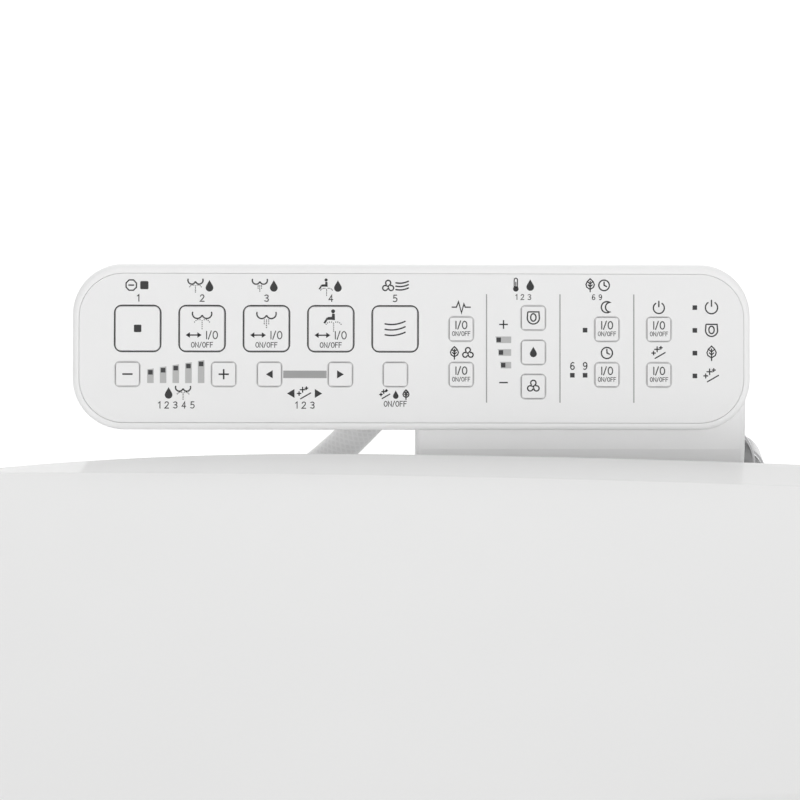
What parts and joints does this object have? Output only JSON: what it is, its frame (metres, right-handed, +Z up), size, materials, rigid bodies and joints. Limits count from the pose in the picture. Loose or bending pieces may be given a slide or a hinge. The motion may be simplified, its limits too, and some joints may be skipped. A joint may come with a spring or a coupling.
{
  "type": "electric bidet seat",
  "caption": "Electric bidet seat with a hinged lid and heated seat, a sliding spray wand, a warm-air outlet, a side arm with a tilted key panel and a water hose.",
  "frame": {"origin": "midway between the two fixing holes, on the underside that rests on the bowl's rim", "axes": "X to the sitter's left, Y to the rear, Z up"},
  "size_m": [0.469, 0.5295, 0.157],
  "materials": {
    "white_gloss": "glossy white plastic",
    "white_matte": "satin white plastic",
    "panel_white": "fine satin white panel plastic",
    "key_white": "satin white key plastic",
    "rubber_grey": "soft grey rubber",
    "steel": "turned steel",
    "chrome": "polished chrome",
    "hose_grey": "woven grey hose",
    "board_green": "coated circuit board",
    "dark_plastic": "dark moulded plastic",
    "copper_foil": "printed heater foil",
    "lens_dark": "smoked lamp lens",
    "blue_filter": "filter carrier"
  },
  "bodies": {
    "main": {"base_plate": "white_matte", "bolt_adjusters": "dark_plastic", "body_base": "white_matte", "body_cover": "white_gloss", "body_feet": "rubber_grey", "screws": "steel", "hinge_dampers": "dark_plastic", "panel_arm": "white_gloss", "panel_bezel": "white_gloss", "panel_back": "white_matte", "panel_face": "panel_white", "panel_board": "board_green", "panel_switches": "dark_plastic", "indicator_lights": "lens_dark", "wand_guide": "white_matte", "wand_motor": "steel", "water_heater_tank": "white_matte", "water_pump": "dark_plastic", "inlet_valve": "dark_plastic", "inlet_elbow": "chrome", "dryer_fan_case": "white_matte", "control_board": "board_green", "supply_hose": "hose_grey", "hose_fittings": "chrome"},
    "seat": {"seat_top": "white_gloss", "seat_bottom": "white_matte", "seat_heater": "copper_foil", "seat_bumpers": "rubber_grey", "seat_hinge_shaft": "steel"},
    "lid": {"lid": "white_gloss", "lid_bumpers": "rubber_grey", "lid_hinge_shaft": "steel"},
    "wand": {"wand": "white_gloss", "wand_tip": "white_gloss"},
    "wand_pinion": {"wand_pinion": "dark_plastic"},
    "dryer_impeller": {"dryer_impeller": "dark_plastic"},
    "dryer_flap": {"dryer_flap": "white_matte"},
    "deodoriser_filter": {"deodoriser_filter": "white_matte"},
    "deodoriser_impeller": {"deodoriser_impeller": "dark_plastic"},
    "release_button": {"release_button": "white_matte"},
    "drain_plug": {"drain_plug": "white_matte"},
    "key_stop": {"key_stop": "key_white"},
    "key_rear_wash": {"key_rear_wash": "key_white"},
    "key_soft_wash": {"key_soft_wash": "key_white"},
    "key_front_wash": {"key_front_wash": "key_white"},
    "key_dryer": {"key_dryer": "key_white"},
    "key_pressure_down": {"key_pressure_down": "key_white"},
    "key_pressure_up": {"key_pressure_up": "key_white"},
    "key_wand_forward": {"key_wand_forward": "key_white"},
    "key_wand_back": {"key_wand_back": "key_white"},
    "key_wand_rinse": {"key_wand_rinse": "key_white"},
    "key_pulsate": {"key_pulsate": "key_white"},
    "key_deodoriser": {"key_deodoriser": "key_white"},
    "key_seat_heat": {"key_seat_heat": "key_white"},
    "key_water_heat": {"key_water_heat": "key_white"},
    "key_dryer_heat": {"key_dryer_heat": "key_white"},
    "key_auto_saver": {"key_auto_saver": "key_white"},
    "key_timer_saver": {"key_timer_saver": "key_white"},
    "key_power": {"key_power": "key_white"},
    "key_wand_clean": {"key_wand_clean": "key_white"}
  },
  "joints": [
    {"name": "seat_hinge", "type": "hinge", "parent": "main", "child": "seat", "pos_m": [0, -0.03, 0.088], "axis": [-1, 0, 0], "range_deg": [0, 100]},
    {"name": "lid_hinge", "type": "hinge", "parent": "seat", "child": "lid", "pos_m": [0, -0.03, 0.088], "axis": [1, 0, 0], "range_deg": [-105, 0]},
    {"name": "wand_slide", "type": "slide", "parent": "main", "child": "wand", "axis": [0, -0.9613, -0.2756], "range_m": [0, 0.07]},
    {"name": "pinion_turn", "type": "hinge", "parent": "main", "child": "wand_pinion", "pos_m": [0, -0.08383, 0.04463], "axis": [-1, 0, 0], "range_deg": [-340, 340]},
    {"name": "dryer_fan_turn", "type": "hinge", "parent": "main", "child": "dryer_impeller", "pos_m": [0.06, -0.062, 0.048], "axis": [1, 0, 0], "continuous": true},
    {"name": "dryer_flap_hinge", "type": "hinge", "parent": "main", "child": "dryer_flap", "pos_m": [0.06, -0.1029, 0.0242], "axis": [-1, 0, 0], "range_deg": [0, 60]},
    {"name": "filter_slide", "type": "slide", "parent": "main", "child": "deodoriser_filter", "axis": [1, 0, 0], "range_m": [0, 0.052]},
    {"name": "deodoriser_fan_turn", "type": "hinge", "parent": "main", "child": "deodoriser_impeller", "pos_m": [0.095, 0.031, 0.025], "axis": [0, 0, 1], "continuous": true},
    {"name": "release_press", "type": "slide", "parent": "main", "child": "release_button", "axis": [-1, 0, 0], "range_m": [0, 0.003], "stiffness_N_per_m": 900},
    {"name": "drain_turn", "type": "hinge", "parent": "main", "child": "drain_plug", "pos_m": [-0.14, 0.057, 0.017], "axis": [0, 1, 0], "range_deg": [0, 90]},
    {"name": "key_stop_press", "type": "slide", "parent": "main", "child": "key_stop", "axis": [-0.9272, 0.0326, -0.3732], "range_m": [0, 0.0008], "stiffness_N_per_m": 1500},
    {"name": "key_rear_wash_press", "type": "slide", "parent": "main", "child": "key_rear_wash", "axis": [-0.9272, 0.0326, -0.3732], "range_m": [0, 0.0008], "stiffness_N_per_m": 1500},
    {"name": "key_soft_wash_press", "type": "slide", "parent": "main", "child": "key_soft_wash", "axis": [-0.9272, 0.0326, -0.3732], "range_m": [0, 0.0008], "stiffness_N_per_m": 1500},
    {"name": "key_front_wash_press", "type": "slide", "parent": "main", "child": "key_front_wash", "axis": [-0.9272, 0.0326, -0.3732], "range_m": [0, 0.0008], "stiffness_N_per_m": 1500},
    {"name": "key_dryer_press", "type": "slide", "parent": "main", "child": "key_dryer", "axis": [-0.9272, 0.0326, -0.3732], "range_m": [0, 0.0008], "stiffness_N_per_m": 1500},
    {"name": "key_pressure_down_press", "type": "slide", "parent": "main", "child": "key_pressure_down", "axis": [-0.9272, 0.0326, -0.3732], "range_m": [0, 0.0008], "stiffness_N_per_m": 1500},
    {"name": "key_pressure_up_press", "type": "slide", "parent": "main", "child": "key_pressure_up", "axis": [-0.9272, 0.0326, -0.3732], "range_m": [0, 0.0008], "stiffness_N_per_m": 1500},
    {"name": "key_wand_forward_press", "type": "slide", "parent": "main", "child": "key_wand_forward", "axis": [-0.9272, 0.0326, -0.3732], "range_m": [0, 0.0008], "stiffness_N_per_m": 1500},
    {"name": "key_wand_back_press", "type": "slide", "parent": "main", "child": "key_wand_back", "axis": [-0.9272, 0.0326, -0.3732], "range_m": [0, 0.0008], "stiffness_N_per_m": 1500},
    {"name": "key_wand_rinse_press", "type": "slide", "parent": "main", "child": "key_wand_rinse", "axis": [-0.9272, 0.0326, -0.3732], "range_m": [0, 0.0008], "stiffness_N_per_m": 1500},
    {"name": "key_pulsate_press", "type": "slide", "parent": "main", "child": "key_pulsate", "axis": [-0.9272, 0.0326, -0.3732], "range_m": [0, 0.0008], "stiffness_N_per_m": 1500},
    {"name": "key_deodoriser_press", "type": "slide", "parent": "main", "child": "key_deodoriser", "axis": [-0.9272, 0.0326, -0.3732], "range_m": [0, 0.0008], "stiffness_N_per_m": 1500},
    {"name": "key_seat_heat_press", "type": "slide", "parent": "main", "child": "key_seat_heat", "axis": [-0.9272, 0.0326, -0.3732], "range_m": [0, 0.0008], "stiffness_N_per_m": 1500},
    {"name": "key_water_heat_press", "type": "slide", "parent": "main", "child": "key_water_heat", "axis": [-0.9272, 0.0326, -0.3732], "range_m": [0, 0.0008], "stiffness_N_per_m": 1500},
    {"name": "key_dryer_heat_press", "type": "slide", "parent": "main", "child": "key_dryer_heat", "axis": [-0.9272, 0.0326, -0.3732], "range_m": [0, 0.0008], "stiffness_N_per_m": 1500},
    {"name": "key_auto_saver_press", "type": "slide", "parent": "main", "child": "key_auto_saver", "axis": [-0.9272, 0.0326, -0.3732], "range_m": [0, 0.0008], "stiffness_N_per_m": 1500},
    {"name": "key_timer_saver_press", "type": "slide", "parent": "main", "child": "key_timer_saver", "axis": [-0.9272, 0.0326, -0.3732], "range_m": [0, 0.0008], "stiffness_N_per_m": 1500},
    {"name": "key_power_press", "type": "slide", "parent": "main", "child": "key_power", "axis": [-0.9272, 0.0326, -0.3732], "range_m": [0, 0.0008], "stiffness_N_per_m": 1500},
    {"name": "key_wand_clean_press", "type": "slide", "parent": "main", "child": "key_wand_clean", "axis": [-0.9272, 0.0326, -0.3732], "range_m": [0, 0.0008], "stiffness_N_per_m": 1500}
  ],
  "couplings": [
    {"joint": "pinion_turn", "follows": "wand_slide", "rad_per_m": 83.333}
  ]
}
